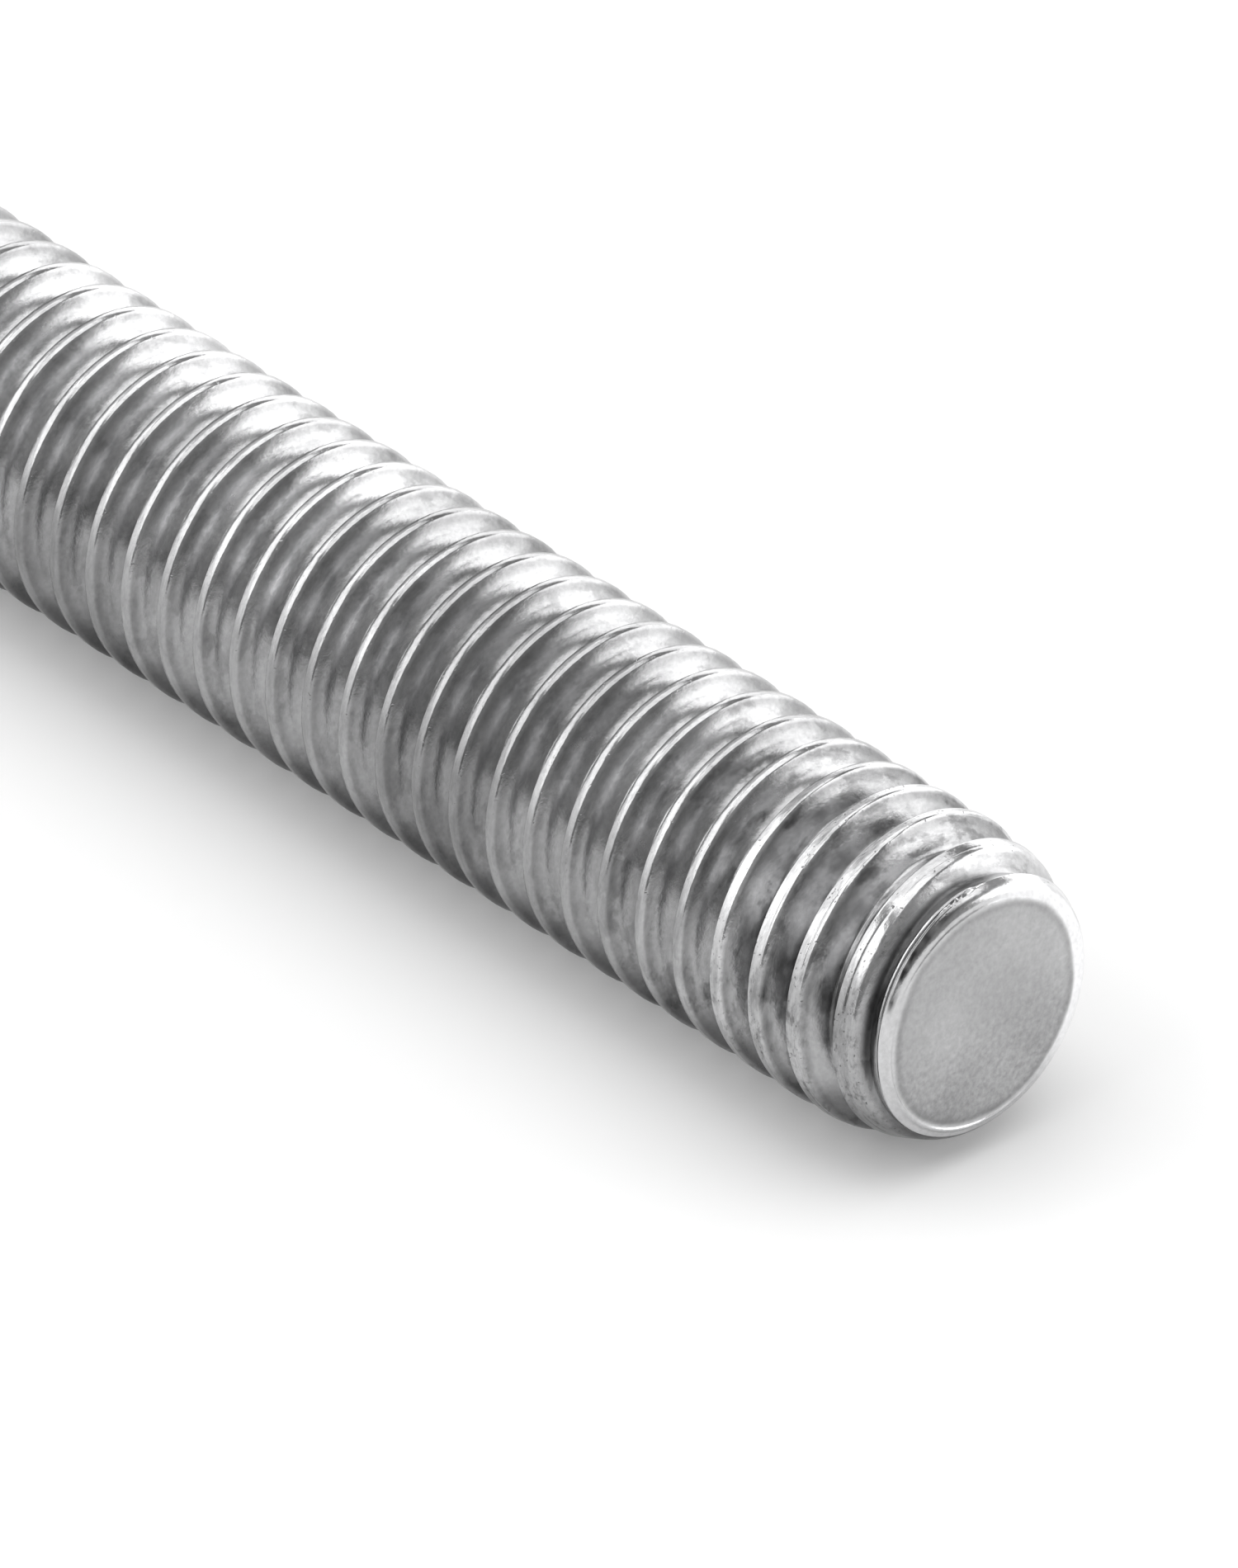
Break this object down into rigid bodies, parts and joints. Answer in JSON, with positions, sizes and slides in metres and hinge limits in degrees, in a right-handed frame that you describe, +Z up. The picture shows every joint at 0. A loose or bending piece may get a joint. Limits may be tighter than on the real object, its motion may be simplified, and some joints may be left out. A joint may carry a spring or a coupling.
{
  "type": "threaded rod",
  "caption": "Fully threaded zinc-plated steel rod with a right-hand metric thread and rounded, flat-faced ends, cut to a short length.",
  "frame": {"origin": "on the surface that the rod lies on, under the middle of its length", "axes": "+X along the rod to the end that shows in the picture, +Z up"},
  "size_m": [0.06, 0.006, 0.0059],
  "materials": {
    "zinc_plated_steel": "bright zinc plating, rolled thread with a few pits and specks"
  },
  "bodies": {
    "root": {"threaded_rod": "zinc_plated_steel"}
  },
  "joints": []
}
